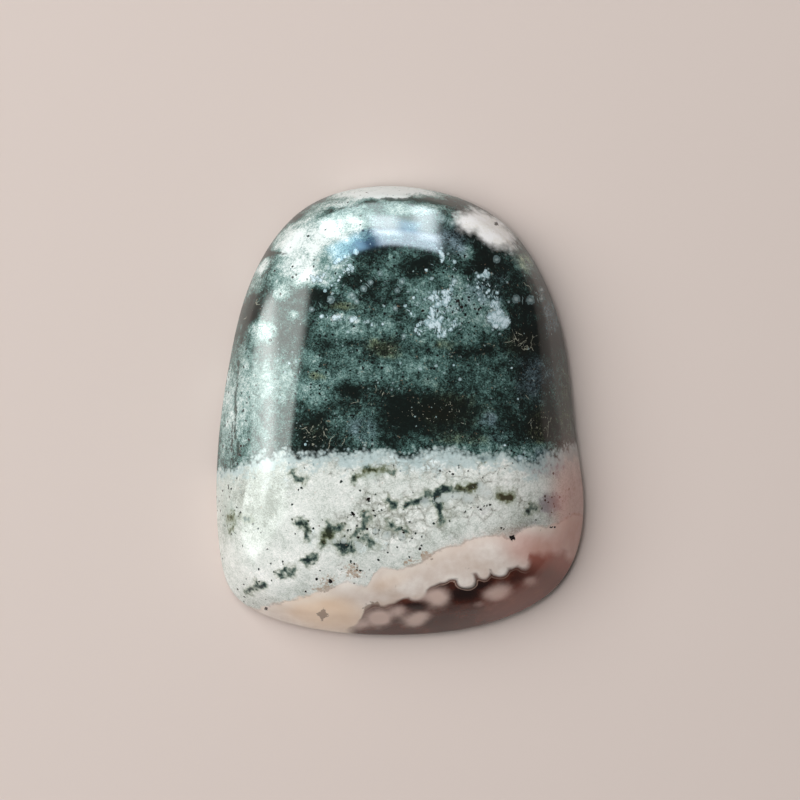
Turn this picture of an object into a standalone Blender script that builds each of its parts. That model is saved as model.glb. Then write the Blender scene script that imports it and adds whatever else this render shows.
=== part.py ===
"""Moss agate cabochon: one polished stone with a flat back, a sloping side and a low, broad dome.

Metres, +Z up. The flat back lies on Z = 0 and the stone's length runs along Y, so its narrow
rounded end points to +Y and its broad foot to -Y. The origin is under the middle of the stone.
"""

import bmesh
import bpy
import numpy as np

MM = 0.001

# Driving sizes of the stone, in millimetres.
LENGTH = 25.0
WIDTH = 20.44
HEIGHT = 5.9

# The bevel ground round the back, and the upright band of the girdle above it.
BACK_BEVEL = 0.35
GIRDLE_BAND = 0.3

# The sloping side: how high it rises, how far it leans inwards at each end, and how full it is.
SIDE_RISE = 2.2
SIDE_RUN_TOP = 0.68
SIDE_RUN_FOOT = 1.18
SIDE_BULGE = 0.06

# The dome: a slight crown over the whole top, and a shoulder that falls away towards the rim.
# The crease keeps only the girdle's first few waves round the stone, and over the outer part of its
# radius the dome's plan goes down to fewer still.
CROWN_RISE = 1.0
SHOULDER_WIDTH = 7.0
SHOULDER_POWER = 3.0
CREASE_ROUNDING = 0.25
CREASE_WAVES = 6
DOME_WAVES = 3
DOME_ROUNDS_OVER = 0.5

# How finely the stone is cut into facets. A row spread below 1 brings the dome's rows closer
# together towards the crease, where the shoulder bends most.
AROUND = 108
DOME_ROWS = 24
DOME_ROW_SPREAD = 0.75
CREASE_ROWS = 4
SIDE_ROWS = 5
SPLINE_STEPS = 40

# Edges that bend more than this, in degrees, are shaded sharp: those of the back's bevel.
SHARP_ANGLE = 35.0

# The colour and polish of the stone as a whole, from its green body and pale bands.
STONE_COLOUR = (0.165, 0.205, 0.19, 1.0)
STONE_ROUGHNESS = 0.08
STONE_IOR = 1.54

# Points that steer the girdle line, anticlockwise from the tip of the narrow end, in millimetres.
GIRDLE_POINTS = (
    (0.0, 12.6),
    (-3.0, 12.35),
    (-5.4, 11.4),
    (-7.3, 9.4),
    (-8.8, 6.3),
    (-9.55, 2.6),
    (-10.15, -1.2),
    (-10.3, -4.9),
    (-10.1, -8.0),
    (-9.6, -10.45),
    (-7.2, -11.75),
    (-3.8, -12.5),
    (0.0, -12.65),
    (3.8, -12.35),
    (6.9, -11.3),
    (9.05, -9.85),
    (10.15, -7.4),
    (10.3, -4.6),
    (9.8, -2.0),
    (9.5, 0.8),
    (9.2, 3.9),
    (8.15, 7.3),
    (6.2, 10.35),
    (3.4, 11.95),
)


def girdle_line():
    """The widest line in plan, as AROUND points: a closed uniform cubic B-spline steered by
    GIRDLE_POINTS, cut into equal steps and stretched to exactly WIDTH by LENGTH."""
    before, here, after, beyond = (np.roll(GIRDLE_POINTS, shift, axis=0) for shift in (1, 0, -1, -2))
    t = np.linspace(0.0, 1.0, SPLINE_STEPS, endpoint=False)[:, None, None]
    curve = (
        (1 - t) ** 3 * before
        + (3 * t**3 - 6 * t**2 + 4) * here
        + (-3 * t**3 + 3 * t**2 + 3 * t + 1) * after
        + t**3 * beyond
    ) / 6
    curve = curve.transpose(1, 0, 2).reshape(-1, 2)
    closed = np.vstack([curve, curve[:1]])
    along = np.concatenate([[0.0], np.cumsum(np.hypot(*np.diff(closed, axis=0).T))])
    places = np.linspace(0.0, along[-1], AROUND, endpoint=False)
    line = np.column_stack([np.interp(places, along, closed[:, axis]) for axis in (0, 1)])
    low, high = line.min(axis=0), line.max(axis=0)
    return (line - (low + high) / 2) * (WIDTH, LENGTH) / (high - low)


def broad_waves(reach, count):
    """A reach round the stone with only its first count waves kept, so that small bumps are gone."""
    waves = np.fft.rfft(reach)
    waves[count + 1 :] = 0
    return np.fft.irfft(waves, len(reach))


def profile_rows(line):
    """The stone's section under every point of the girdle line, from the dome's top down to the
    back's rim. Each row is (reach, height): how far it lies from the stone's axis, and its Z."""
    girdle_reach = np.hypot(line[:, 0], line[:, 1])
    towards_foot = 0.5 - line[:, 1] / LENGTH
    side_run = SIDE_RUN_TOP + (SIDE_RUN_FOOT - SIDE_RUN_TOP) * towards_foot
    crease_reach = broad_waves(girdle_reach, CREASE_WAVES) - side_run
    broad_reach = broad_waves(crease_reach, DOME_WAVES)
    girdle_top = BACK_BEVEL + GIRDLE_BAND
    crease_height = girdle_top + SIDE_RISE
    shoulder_rise = HEIGHT - crease_height - CROWN_RISE

    def dome(scale):
        """The dome's surface at a scale from 0 at the top to 1 at the crease: the shoulder is a power
        curve of the distance from the crease, and the crown a parabola."""
        inward = np.clip((1 - scale) / DOME_ROUNDS_OVER, 0, 1)
        rounding = inward**2 * (3 - 2 * inward)
        plan = crease_reach + (broad_reach - crease_reach) * rounding
        inset = np.minimum(plan * (1 - scale) / SHOULDER_WIDTH, 1)
        shoulder = shoulder_rise * (1 - (1 - inset) ** SHOULDER_POWER)
        return plan * scale, crease_height + shoulder + CROWN_RISE * (1 - scale**2)

    def side(share):
        """The side's surface, from 0 at the crease to 1 at the girdle, a little fuller than straight."""
        fullness = SIDE_BULGE * np.sin(np.pi * share)
        run = girdle_reach - crease_reach
        return crease_reach + run * share + fullness, crease_height - SIDE_RISE * share

    def crease(t):
        """The rounding between dome and side, from t 0 to 1: a parabola steered by the sharp corner."""
        above, corner, below = dome(dome_edge), side(0.0), side(side_start)
        return tuple((1 - t) ** 2 * a + 2 * t * (1 - t) * c + t**2 * b for a, c, b in zip(above, corner, below))

    dome_edge = 1 - CREASE_ROUNDING / crease_reach
    side_start = CREASE_ROUNDING / SIDE_RISE
    rows = []
    for step in range(1, DOME_ROWS + 1):
        rows.append(dome(dome_edge * (step / DOME_ROWS) ** DOME_ROW_SPREAD))
    for step in range(1, CREASE_ROWS):
        rows.append(crease(step / CREASE_ROWS))
    for share in np.linspace(side_start, 1.0, SIDE_ROWS):
        rows.append(side(share))
    rows.append((girdle_reach, BACK_BEVEL))
    rows.append((girdle_reach - BACK_BEVEL, 0.0))
    return rows


def build_stone(collection):
    """A UV sphere whose rows are laid along the stone's section and whose columns follow the
    girdle line. Its lower pole becomes the middle of the flat back."""
    line = girdle_line()
    directions = line / np.hypot(line[:, 0], line[:, 1])[:, None]
    rows = profile_rows(line)
    row_count = len(rows) + 1

    bm = bmesh.new()
    bmesh.ops.create_uvsphere(bm, u_segments=AROUND, v_segments=row_count, radius=1.0)
    for vert in bm.verts:
        row = round(np.arccos(np.clip(vert.co.z, -1.0, 1.0)) / np.pi * row_count)
        if row == 0:
            vert.co = (0.0, 0.0, HEIGHT * MM)
        elif row == row_count:
            vert.co = (0.0, 0.0, 0.0)
        else:
            column = round(np.arctan2(vert.co.y, vert.co.x) / (2 * np.pi) * AROUND) % AROUND
            reach, height = (np.broadcast_to(values, AROUND)[column] for values in rows[row - 1])
            vert.co = (directions[column, 0] * reach * MM, directions[column, 1] * reach * MM, height * MM)
    mesh = bpy.data.meshes.new("cabochon")
    bm.to_mesh(mesh)
    bm.free()
    mesh.shade_smooth()
    mesh.set_sharp_from_angle(angle=np.radians(SHARP_ANGLE))

    stone = bpy.data.objects.new("cabochon", mesh)
    collection.objects.link(stone)
    mesh.materials.append(polished_agate())
    return stone


def polished_agate():
    """Moss agate, polished: glossy chalcedony in the stone's average green-grey."""
    material = bpy.data.materials.new("polished_moss_agate")
    material.use_nodes = True
    surface = material.node_tree.nodes["Principled BSDF"]
    surface.inputs["Base Color"].default_value = STONE_COLOUR
    surface.inputs["Metallic"].default_value = 0.0
    surface.inputs["Roughness"].default_value = STONE_ROUGHNESS
    surface.inputs["IOR"].default_value = STONE_IOR
    return material


def main():
    for leftover in list(bpy.data.objects):
        bpy.data.objects.remove(leftover, do_unlink=True)
    collection = bpy.data.collections.new("moss agate cabochon")
    bpy.context.scene.collection.children.link(collection)
    build_stone(collection)


main()
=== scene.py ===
import bpy
import numpy as np
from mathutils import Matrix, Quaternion, Vector


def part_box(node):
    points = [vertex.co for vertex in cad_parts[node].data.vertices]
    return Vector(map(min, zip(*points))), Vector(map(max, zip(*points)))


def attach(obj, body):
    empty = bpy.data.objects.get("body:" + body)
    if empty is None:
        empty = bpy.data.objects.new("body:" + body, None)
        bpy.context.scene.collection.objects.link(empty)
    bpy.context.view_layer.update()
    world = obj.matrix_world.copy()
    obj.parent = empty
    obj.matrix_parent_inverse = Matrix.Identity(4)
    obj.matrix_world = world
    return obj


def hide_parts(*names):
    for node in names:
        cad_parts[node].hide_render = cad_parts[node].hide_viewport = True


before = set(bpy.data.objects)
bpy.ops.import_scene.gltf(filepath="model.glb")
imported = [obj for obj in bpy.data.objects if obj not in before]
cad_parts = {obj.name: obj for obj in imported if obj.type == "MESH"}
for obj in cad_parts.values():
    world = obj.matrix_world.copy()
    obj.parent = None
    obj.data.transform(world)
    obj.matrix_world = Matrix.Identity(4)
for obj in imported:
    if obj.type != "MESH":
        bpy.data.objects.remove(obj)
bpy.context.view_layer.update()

# The stone.
# One piece of moss agate: chalcedony with green moss-like inclusions, a pale band and a cream foot.
# It was sawn, ground freehand to a domed cabochon with a sloping side and a flat back, and polished.

MM = 0.001
low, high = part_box("cabochon")
WIDTH, LENGTH, HEIGHT = ((high - low) / MM)

# The section, in millimetres: bevel and upright band at the girdle, sloping side, crease and dome.
BACK_BEVEL = 0.35
GIRDLE_BAND = 0.3
SIDE_RISE = 2.2
SIDE_RUN_TOP = 0.68
SIDE_RUN_FOOT = 1.18
SIDE_BULGE = 0.06
CROWN_RISE = 1.0
SHOULDER_WIDTH = 7.0
SHOULDER_POWER = 3.0
CREASE_ROUNDING = 0.25
CREASE_WAVES = 6
DOME_WAVES = 3
DOME_ROUNDS_OVER = 0.5

# How finely the surface is cut: columns round the stone, and rows down each part of its section.
AROUND = 640
DOME_ROWS = 86
DOME_ROW_SPREAD = 0.85
CREASE_ROWS = 5
SIDE_ROWS = 16
BAND_ROWS = 3
BEVEL_ROWS = 3
BACK_ROWS = 26
SPLINE_STEPS = 160
SHARP_ANGLE = 35.0

# Points that steer the girdle line, anticlockwise from the tip of the narrow end, in millimetres.
GIRDLE_POINTS = (
    (0.0, 12.6), (-3.0, 12.35), (-5.4, 11.4), (-7.3, 9.4), (-8.8, 6.3), (-9.55, 2.6), (-10.15, -1.2),
    (-10.3, -4.9), (-10.1, -8.0), (-9.6, -10.45), (-7.2, -11.75), (-3.8, -12.5), (0.0, -12.65),
    (3.8, -12.35), (6.9, -11.3), (9.05, -9.85), (10.15, -7.4), (10.3, -4.6), (9.8, -2.0), (9.5, 0.8),
    (9.2, 3.9), (8.15, 7.3), (6.2, 10.35), (3.4, 11.95),
)


def girdle_line():
    """The widest line in plan: a closed uniform cubic B-spline steered by GIRDLE_POINTS, cut into
    AROUND equal steps and stretched to the solid's width and length."""
    before, here, after, beyond = (np.roll(GIRDLE_POINTS, shift, axis=0) for shift in (1, 0, -1, -2))
    t = np.linspace(0.0, 1.0, SPLINE_STEPS, endpoint=False)[:, None, None]
    curve = (
        (1 - t) ** 3 * before
        + (3 * t**3 - 6 * t**2 + 4) * here
        + (-3 * t**3 + 3 * t**2 + 3 * t + 1) * after
        + t**3 * beyond
    ) / 6
    curve = curve.transpose(1, 0, 2).reshape(-1, 2)
    closed = np.vstack([curve, curve[:1]])
    along = np.concatenate([[0.0], np.cumsum(np.hypot(*np.diff(closed, axis=0).T))])
    places = np.linspace(0.0, along[-1], AROUND, endpoint=False)
    line = np.column_stack([np.interp(places, along, closed[:, axis]) for axis in (0, 1)])
    least, most = line.min(axis=0), line.max(axis=0)
    return (line - (least + most) / 2) * (WIDTH, LENGTH) / (most - least)


def broad_waves(reach, count):
    """A reach round the stone with only its first count waves kept, so that small bumps are gone."""
    waves = np.fft.rfft(reach)
    waves[count + 1 :] = 0
    return np.fft.irfft(waves, len(reach))


def stone_surface():
    """The polished surface as a grid of points (row, column, xyz), in millimetres. A column is a
    direction round the stone, and a row runs round it at one place of the section: down the dome
    (a power curve of the distance from the crease, on a parabola), round the crease (a parabola
    steered by the sharp corner), down the side, the band and the bevel, and in over the back."""
    line = girdle_line()
    girdle = np.hypot(line[:, 0], line[:, 1])
    run_share = 0.5 - line[:, 1] / LENGTH
    crease = broad_waves(girdle, CREASE_WAVES) - (SIDE_RUN_TOP + (SIDE_RUN_FOOT - SIDE_RUN_TOP) * run_share)
    broad = broad_waves(crease, DOME_WAVES)
    crease_height = BACK_BEVEL + GIRDLE_BAND + SIDE_RISE
    shoulder_rise = HEIGHT - crease_height - CROWN_RISE

    def dome(scale):
        inward = np.clip((1 - scale) / DOME_ROUNDS_OVER, 0, 1)
        plan = crease + (broad - crease) * inward**2 * (3 - 2 * inward)
        inset = np.minimum(plan * (1 - scale) / SHOULDER_WIDTH, 1)
        shoulder = shoulder_rise * (1 - (1 - inset) ** SHOULDER_POWER)
        return plan * scale, crease_height + shoulder + CROWN_RISE * (1 - scale**2)

    def side(share):
        reach = crease + (girdle - crease) * share + SIDE_BULGE * np.sin(np.pi * share)
        return reach, (crease_height - SIDE_RISE * share) * np.ones_like(reach)

    steps = np.arange(1, DOME_ROWS + 1)[:, None] / DOME_ROWS
    rounded = np.arange(1, CREASE_ROWS)[:, None] / CREASE_ROWS
    side_start = CREASE_ROUNDING / SIDE_RISE
    dome_edge = 1 - CREASE_ROUNDING / crease
    corners = np.array([dome(dome_edge), side(np.array([0.0])), side(np.array([side_start]))])
    crease_part = (
        (1 - rounded) ** 2 * corners[0][:, None] + 2 * rounded * (1 - rounded) * corners[1][:, None]
        + rounded**2 * corners[2][:, None]
    )
    band = np.arange(1, BAND_ROWS + 1)[:, None] / BAND_ROWS * np.ones(AROUND)
    bevel = np.arange(1, BEVEL_ROWS + 1)[:, None] / BEVEL_ROWS * np.ones(AROUND)
    inwards = np.arange(1, BACK_ROWS)[:, None] / BACK_ROWS * np.ones(AROUND)
    parts = (
        dome(dome_edge * steps**DOME_ROW_SPREAD),
        crease_part,
        side(np.linspace(side_start, 1.0, SIDE_ROWS)[:, None]),
        (girdle * np.ones_like(band), BACK_BEVEL + GIRDLE_BAND * (1 - band)),
        (girdle - BACK_BEVEL * bevel, BACK_BEVEL * (1 - bevel)),
        ((girdle - BACK_BEVEL) * (1 - inwards), 0 * inwards),
    )
    reach = np.vstack([part[0] for part in parts])
    height = np.vstack([part[1] for part in parts])
    directions = line / girdle[:, None]
    return np.dstack([reach * directions[:, 0], reach * directions[:, 1], height])


def closed_mesh(name, grid):
    """A closed mesh from a grid of rings: a quad between each pair of rows and columns, and a fan of
    triangles to one point on the axis at the first and at the last ring."""
    rows, columns = grid.shape[:2]
    points = np.vstack([grid.reshape(-1, 3), (0.0, 0.0, HEIGHT), (0.0, 0.0, 0.0)])
    column = np.arange(columns)
    beside = (column + 1) % columns
    ring = np.arange(rows - 1)[:, None] * columns
    quads = np.stack([ring + column, ring + columns + column, ring + columns + beside, ring + beside], axis=2)
    top, bottom, last = rows * columns, rows * columns + 1, (rows - 1) * columns
    fan_top = np.column_stack([np.full(columns, top), column, beside])
    fan_bottom = np.column_stack([np.full(columns, bottom), last + beside, last + column])
    mesh = bpy.data.meshes.new(name)
    mesh.from_pydata(points * MM, [], quads.reshape(-1, 4).tolist() + fan_top.tolist() + fan_bottom.tolist())
    mesh.shade_smooth()
    mesh.set_sharp_from_angle(angle=np.radians(SHARP_ANGLE))
    return mesh, points


stone_mesh, places = closed_mesh("polished_stone", stone_surface())

# What grew in the stone. Each mineral is placed in plan, in millimetres, as it shows on the dome,
# and is written on the surface as a field that the material turns into colour. Some fields paint light and
# shade instead: the left rim's reflection, the rosy cast and the lobes' shade.

# Lower edge of the green body, upper edge of the cream foot, and the cream's own lower edge.
GREEN_EDGE = (
    (-10.5, -3.6), (-9.0, -3.1), (-7.5, -2.6), (-6.0, -2.4), (-5.0, -2.6), (-4.0, -2.5), (-2.3, -2.5),
    (-1.5, -2.2), (-0.5, -2.2), (0.3, -2.75), (1.2, -2.5), (2.4, -2.3), (3.2, -2.35), (4.7, -2.55),
    (5.7, -2.3), (6.4, -2.7), (7.4, -3.1), (8.2, -2.6), (9.2, -2.1), (10.5, -2.0),
)
CREAM_EDGE = (
    (-10.5, -11.3), (-7.9, -11.1), (-6.0, -10.5), (-5.2, -10.2), (-4.5, -10.0), (-3.3, -9.6),
    (-2.4, -9.5), (-1.8, -9.7), (-1.5, -9.1), (-1.1, -8.65), (-0.2, -8.7), (0.6, -8.45), (1.3, -8.4),
    (1.9, -8.0), (2.4, -7.6), (3.1, -7.4), (4.0, -7.05), (4.9, -6.8), (5.7, -6.85), (6.1, -7.1),
    (6.6, -6.6), (7.3, -6.3), (8.2, -6.3), (9.3, -5.9), (10.5, -5.8),
)
BROWN_EDGE = (
    (-10.5, -14.5), (-4.5, -13.0), (-3.3, -12.5), (-2.4, -11.9), (-1.9, -11.1), (-1.5, -10.8),
    (-0.6, -10.75), (0.2, -10.4), (1.2, -10.2), (1.7, -9.7), (2.4, -9.35), (3.1, -9.3), (4.2, -8.95),
    (5.0, -8.8), (6.0, -8.75), (6.9, -8.5), (7.1, -7.9), (7.9, -8.0), (8.6, -7.9), (9.1, -7.8),
    (9.6, -8.2), (10.5, -8.4),
)

# Round lobes of cream that hang into the brown: x, y and radius.
CREAM_LOBES = (
    (-0.9, -10.35, 0.5), (-0.1, -10.0, 0.35), (0.9, -9.9, 0.6), (2.4, -9.1, 0.36), (3.65, -9.3, 0.52),
    (4.6, -8.85, 0.4), (5.5, -8.7, 0.5), (6.75, -8.35, 0.38), (7.9, -7.6, 0.45), (8.7, -7.5, 0.5),
    (9.6, -7.9, 0.5),
)

# Cloudy patches of the white mineral in the green body: x, y, half width, half height, turn and tone.
WHITES = (
    (-7.6, 4.4, 0.85, 0.6, -10, 0.46), (-6.6, 6.6, 0.5, 0.6, -15, 0.42), (-5.6, 8.1, 1.1, 1.0, 30, 0.60),
    (-6.3, 9.4, 0.9, 0.7, 45, 0.66), (-4.8, 9.8, 1.1, 0.9, 0, 0.58), (-3.1, 10.1, 1.2, 0.8, -10, 0.56),
    (-7.6, 8.0, 0.55, 0.28, 45, 0.60), (-0.9, 12.2, 3.5, 0.52, 0, 0.92), (0.6, 11.15, 1.7, 0.4, 0, 0.42),
    (5.4, 5.0, 0.68, 0.58, 0, 0.54), (5.3, 5.85, 0.36, 0.22, 0, 0.38), (-3.5, 5.15, 0.35, 0.14, 8, 0.48),
    (-2.6, 5.05, 0.33, 0.14, 0, 0.42), (-5.9, 5.35, 0.22, 0.22, 0, 0.4), (-4.2, 7.5, 1.1, 0.6, 10, 0.38),
    (-3.3, 8.2, 0.9, 0.5, 0, 0.34), (-8.6, 6.6, 0.3, 0.7, -20, 0.16), (2.3, 10.65, 0.3, 0.3, 0, 0.3),
    (3.0, 10.6, 0.5, 0.4, 0, 0.22), (-5.9, 11.3, 1.0, 0.3, 35, 0.25), (-7.6, 9.1, 0.4, 0.3, 45, 0.3),
    (-6.9, 7.6, 0.5, 0.8, -20, 0.22), (-4.8, 11.05, 1.7, 0.35, 28, 0.42),
    (6.85, 8.1, 0.65, 0.6, 20, 0.30), (-8.1, 1.8, 0.9, 2.2, 5, 0.22), (-2.8, 11.55, 1.3, 0.25, 15, 0.5),
    (-3.4, 9.2, 0.7, 0.6, 0, 0.26), (-2.3, 10.8, 0.8, 0.7, 0, 0.34), (-8.0, 7.2, 0.4, 0.7, -20, 0.34),
    (-4.9, 7.2, 0.9, 0.5, 0, 0.30), (-4.3, 8.8, 0.7, 0.6, 0, 0.34),
)

# Light and dark clouds in the green body: x, y, half width, half height, turn and change of tone.
CLOUDS_AND_LEFT_REFLECTION = (
    (2.6, 5.6, 2.9, 1.5, 0, 0.23), (-2.6, 4.7, 2.3, 0.7, 0, 0.26), (0.6, 2.4, 2.9, 0.8, 5, 0.12),
    (-4.6, 1.1, 1.3, 0.8, 20, 0.20), (-5.0, 2.8, 0.9, 0.6, 0, 0.20), (5.0, 2.0, 1.2, 1.3, 0, 0.09),
    (-1.1, 7.5, 0.45, 0.4, 0, 0.22), (-0.3, 8.3, 0.5, 0.35, 30, 0.24), (-2.7, 6.2, 0.5, 0.6, 0, 0.20),
    (3.0, 9.1, 0.8, 0.9, 0, 0.14), (3.7, 8.7, 0.35, 0.45, 0, 0.2), (4.6, 7.5, 0.5, 0.28, 20, 0.20),
    (4.2, 5.2, 0.8, 0.7, 0, 0.08), (7.1, 8.1, 0.6, 1.0, 25, 0.10), (8.4, 5.1, 0.5, 1.1, 10, 0.16),
    (7.5, 1.8, 1.2, 1.5, 0, 0.14), (-2.0, -1.1, 0.9, 1.1, 0, 0.13), (4.8, -0.5, 0.6, 0.5, 0, 0.20),
    # The two long light clouds down the left rim, at x -9.2 and -9.3, are painted reflection of the left
    # window.
    (5.7, -1.5, 0.7, 0.7, 0, 0.06), (-9.2, -0.6, 2.0, 4.8, 0, 0.24), (-6.7, 1.8, 0.9, 1.3, 0, 0.30),
    (-9.3, 0.3, 0.8, 2.6, 5, 0.26), (-5.2, 9.0, 2.0, 1.3, 30, 0.18), (-3.5, 4.1, 1.8, 0.4, 0, 0.12),
    (-4.4, -2.1, 1.2, 0.4, 0, -0.14), (-6.6, -0.9, 0.9, 0.8, 0, -0.02), (0.5, 8.85, 0.9, 0.3, 0, 0.24),
    (-3.0, 3.2, 1.6, 0.5, 0, 0.12), (-2.8, 2.2, 1.2, 0.7, 0, 0.12), (-0.9, -1.4, 0.8, 0.7, 0, 0.10),
    (4.6, -2.1, 2.6, 0.5, -10, 0.20), (-0.4, -2.1, 1.2, 0.3, 0, 0.22), (7.8, -2.3, 1.3, 0.5, 0, 0.28),
    (-3.4, -1.5, 1.2, 0.7, 0, -0.08), (-3.2, 0.2, 0.8, 0.5, 0, -0.12), (8.3, 6.8, 0.5, 0.8, 0, -0.12),
    (2.9, 7.1, 0.6, 0.5, 0, 0.14), (2.9, 4.0, 1.4, 0.4, 0, 0.10), (6.9, 1.0, 1.0, 1.2, 0, 0.07),
    (-8.3, 5.2, 0.4, 0.9, -10, -0.32), (-6.2, 5.5, 0.7, 0.7, 0, 0.10), (-7.2, 6.2, 1.0, 1.6, -20, -0.04),
    (-4.1, 5.1, 0.6, 0.35, 0, 0.20), (0.0, 7.0, 1.2, 0.8, 0, 0.06), (-4.5, 6.35, 0.6, 0.45, 0, -0.26),
    (-2.2, 7.2, 0.6, 0.45, 0, -0.18), (-0.8, 9.0, 2.0, 0.35, -5, -0.20), (1.2, 8.1, 1.3, 0.3, 0, -0.24),
    (1.0, 7.6, 0.8, 0.35, 0, -0.16), (3.8, 9.6, 0.9, 0.4, -30, -0.25), (4.9, 8.2, 1.1, 0.8, -15, -0.40),
    (6.9, 5.8, 0.9, 2.0, 0, -0.22), (3.8, 7.5, 0.4, 0.4, 0, -0.2), (7.4, 3.9, 1.5, 0.7, 0, -0.26),
    (4.2, 3.2, 1.6, 0.4, 8, -0.22), (-3.4, 3.6, 0.8, 0.3, 0, -0.06), (-5.2, 4.3, 0.4, 0.5, 0, -0.16),
    (-2.6, 1.2, 0.9, 0.5, -10, -0.24), (0.0, 0.5, 2.5, 0.7, -5, -0.20), (-4.9, -1.1, 1.1, 1.2, 0, -0.22),
    (-0.4, -1.0, 0.9, 1.2, 0, -0.24), (2.2, -0.4, 2.4, 1.1, -5, -0.24), (7.6, -0.6, 1.3, 1.3, 0, -0.16),
    (7.4, 2.2, 1.4, 2.0, 0, -0.10), (0.1, 5.4, 0.4, 0.9, 0, -0.18), (-1.2, 6.4, 1.2, 0.5, 0, -0.12),
    (-0.8, 3.3, 1.0, 0.5, 0, -0.12), (-6.9, 8.7, 0.4, 0.12, 10, -0.3), (-5.6, 10.7, 0.5, 0.25, 30, -0.3),
    (-7.4, 8.6, 0.3, 0.2, 45, -0.25),
)

# Sugar-like clusters of white grains in the green body: as above, with the share of grains there.
SUGAR = (
    (2.5, 6.05, 0.45, 0.4, 20, 0.75), (2.3, 6.6, 0.7, 0.25, 10, 0.5), (1.7, 6.1, 0.3, 0.25, 0, 0.6),
    (1.7, 4.8, 0.75, 0.33, 0, 0.8), (1.7, 5.3, 0.3, 0.3, 0, 0.6), (2.3, 4.3, 0.5, 0.3, 0, 0.6),
    (2.4, 5.6, 2.0, 1.4, 0, 0.18), (5.2, 5.4, 1.0, 1.0, 0, 0.5), (-4.2, 7.4, 1.0, 0.7, 0, 0.4),
    (-2.8, 8.0, 0.7, 0.5, 0, 0.3), (-6.2, 2.5, 0.6, 1.3, 0, 0.2), (-2.9, 4.9, 1.6, 0.4, 0, 0.3),
    (4.6, 7.5, 0.5, 0.3, 20, 0.5), (2.3, 8.8, 0.25, 0.4, 0, 0.7), (-1.6, -2.1, 2.0, 0.4, 0, 0.25),
    (6.9, -2.5, 0.6, 0.4, 0, 0.4), (0.5, 2.4, 2.5, 0.8, 0, 0.06),
)

# The larger lumps of sugar: x, y and radius.
LUMPS = (
    (2.98, 7.13, 0.16), (4.27, 6.8, 0.1), (4.9, 6.62, 0.1), (4.78, 6.48, 0.08), (5.35, 6.5, 0.1),
    (1.9, 6.5, 0.13), (2.45, 6.5, 0.17), (2.8, 6.68, 0.13), (1.7, 6.2, 0.12), (2.0, 6.2, 0.08),
    (2.65, 6.2, 0.17), (2.48, 5.93, 0.2), (2.05, 5.82, 0.18), (1.75, 5.35, 0.17), (1.72, 5.6, 0.11),
    (4.38, 6.12, 0.1), (5.12, 5.97, 0.13), (5.32, 5.85, 0.13), (5.15, 5.15, 0.34), (5.45, 5.35, 0.28),
    (5.6, 5.0, 0.32), (5.87, 4.95, 0.22), (5.25, 4.75, 0.22), (5.75, 4.7, 0.2), (1.5, 4.85, 0.22),
    (1.75, 4.7, 0.18), (1.82, 5.0, 0.14), (2.05, 4.85, 0.18), (2.28, 5.08, 0.15), (2.17, 4.68, 0.12),
    (3.0, 4.93, 0.09), (2.98, 4.65, 0.07), (0.98, 4.7, 0.1), (0.85, 4.4, 0.09), (1.05, 4.2, 0.08),
    (2.15, 4.45, 0.1), (2.45, 4.3, 0.12), (2.35, 4.13, 0.12), (2.1, 4.12, 0.1), (2.8, 4.45, 0.1),
    (4.58, 7.47, 0.13), (4.8, 7.5, 0.18), (4.33, 7.4, 0.13), (4.72, 7.72, 0.09), (1.45, 7.72, 0.09),
    (2.3, 8.58, 0.15), (2.22, 8.75, 0.11), (2.38, 8.36, 0.08), (2.3, 8.18, 0.06), (3.0, 8.2, 0.1),
    (-3.05, 8.47, 0.12), (-3.35, 8.3, 0.15), (-3.6, 8.15, 0.09), (-2.45, 8.72, 0.16), (-2.75, 7.98, 0.12),
    (-2.62, 7.83, 0.12), (-2.88, 7.78, 0.1), (-3.1, 7.6, 0.07), (-3.3, 7.35, 0.08), (-3.4, 7.15, 0.07),
    (-4.75, 7.2, 0.14), (-4.55, 7.36, 0.1), (-4.9, 7.42, 0.08), (-4.38, 7.18, 0.11), (-4.2, 7.5, 0.09),
    (-4.12, 6.6, 0.1), (-3.75, 6.9, 0.07), (-3.6, 5.12, 0.17), (-3.35, 5.16, 0.12), (-2.65, 5.0, 0.15),
    (-2.45, 5.08, 0.11), (-1.55, 4.7, 0.07), (-0.95, 4.75, 0.07), (-4.3, 5.2, 0.12), (0.3, 5.75, 0.09),
    (0.75, 6.2, 0.08), (0.6, 5.35, 0.07), (6.5, 0.65, 0.06), (2.95, 2.5, 0.07), (6.15, 2.35, 0.06),
    (5.75, -1.9, 0.07), (-5.2, -1.85, 0.08), (6.62, -2.6, 0.17), (-6.1, 2.6, 0.08),
)

# Olive-brown and slate-blue tints in the green body.
OLIVE = (
    (-1.0, 3.4, 1.1, 0.7, 0, 0.8), (-4.7, 1.9, 0.5, 0.4, 0, 0.7), (-3.2, 5.8, 1.2, 0.3, 0, 0.7),
    (2.6, 0.0, 2.4, 1.1, 0, 0.7), (6.9, 3.8, 1.2, 0.7, 0, 0.8), (6.9, 8.2, 0.8, 0.8, 25, 0.5),
    (7.9, -0.9, 1.0, 1.1, 0, 0.9), (3.4, -1.6, 1.5, 0.5, 0, 0.7), (9.3, 0.5, 0.5, 2.5, 0, 0.8),
    (2.6, 3.6, 1.2, 0.4, 0, 0.6), (-4.8, -1.2, 0.9, 0.9, 0, 0.4),
)
SLATE = (
    (2.9, 9.4, 1.0, 1.0, 0, 0.9), (-2.0, -1.1, 1.0, 1.1, 0, 0.7), (4.8, -0.5, 0.6, 0.5, 0, 0.8),
    (7.4, 1.9, 1.2, 1.5, 0, 1.0), (8.3, 5.1, 0.6, 1.3, 10, 0.9), (4.9, 6.6, 1.3, 1.2, 0, 0.7),
    (5.6, -1.3, 0.8, 0.8, 0, 0.5), (8.0, -2.6, 1.1, 0.5, 0, 0.8), (2.0, 5.6, 1.6, 1.2, 0, 0.3),
)

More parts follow.
